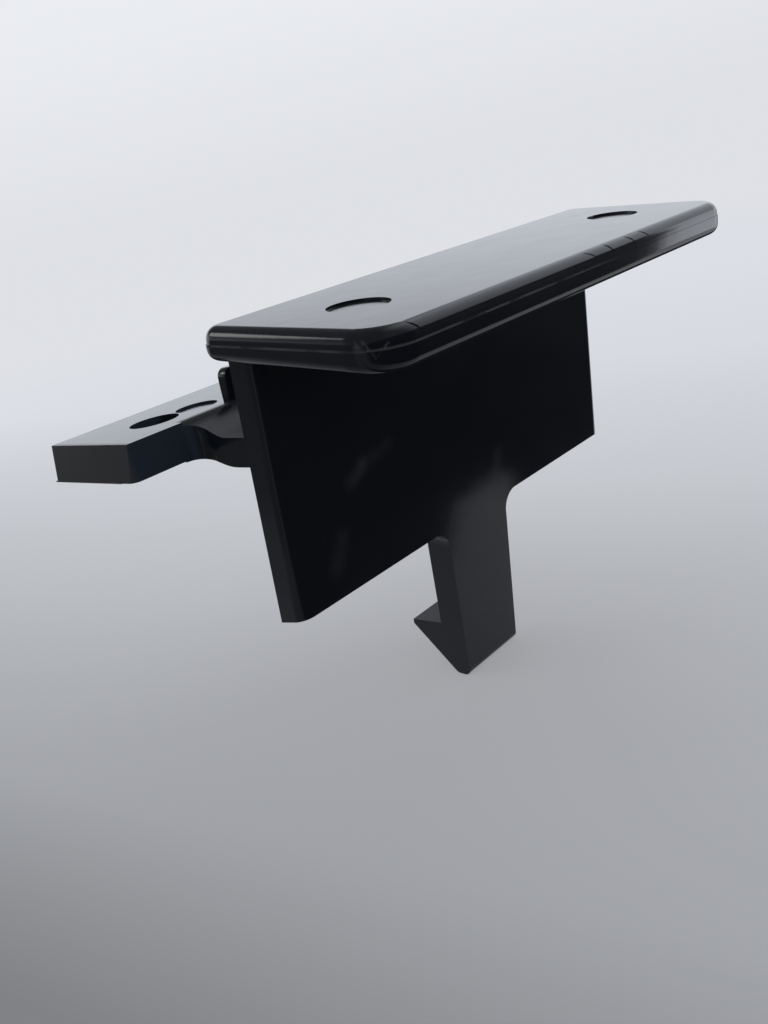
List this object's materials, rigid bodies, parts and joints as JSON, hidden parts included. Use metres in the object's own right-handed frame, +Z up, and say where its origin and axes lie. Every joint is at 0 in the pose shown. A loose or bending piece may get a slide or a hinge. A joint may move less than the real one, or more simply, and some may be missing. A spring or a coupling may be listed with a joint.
{
  "type": "console latch",
  "caption": "One-piece moulded console lid latch: finger plate on an upright web with a barbed hook, and a flex strip leading to a screw tab.",
  "frame": {"origin": "midway between the screw holes, on the top face of the screw tab", "axes": "+X along the screw line, +Y away from the finger lip, +Z up out of the tab's top face"},
  "size_m": [0.0664, 0.0492, 0.0484],
  "materials": {
    "latch": "semi-gloss moulded black"
  },
  "bodies": {
    "root": {"latch": "latch"}
  },
  "joints": []
}
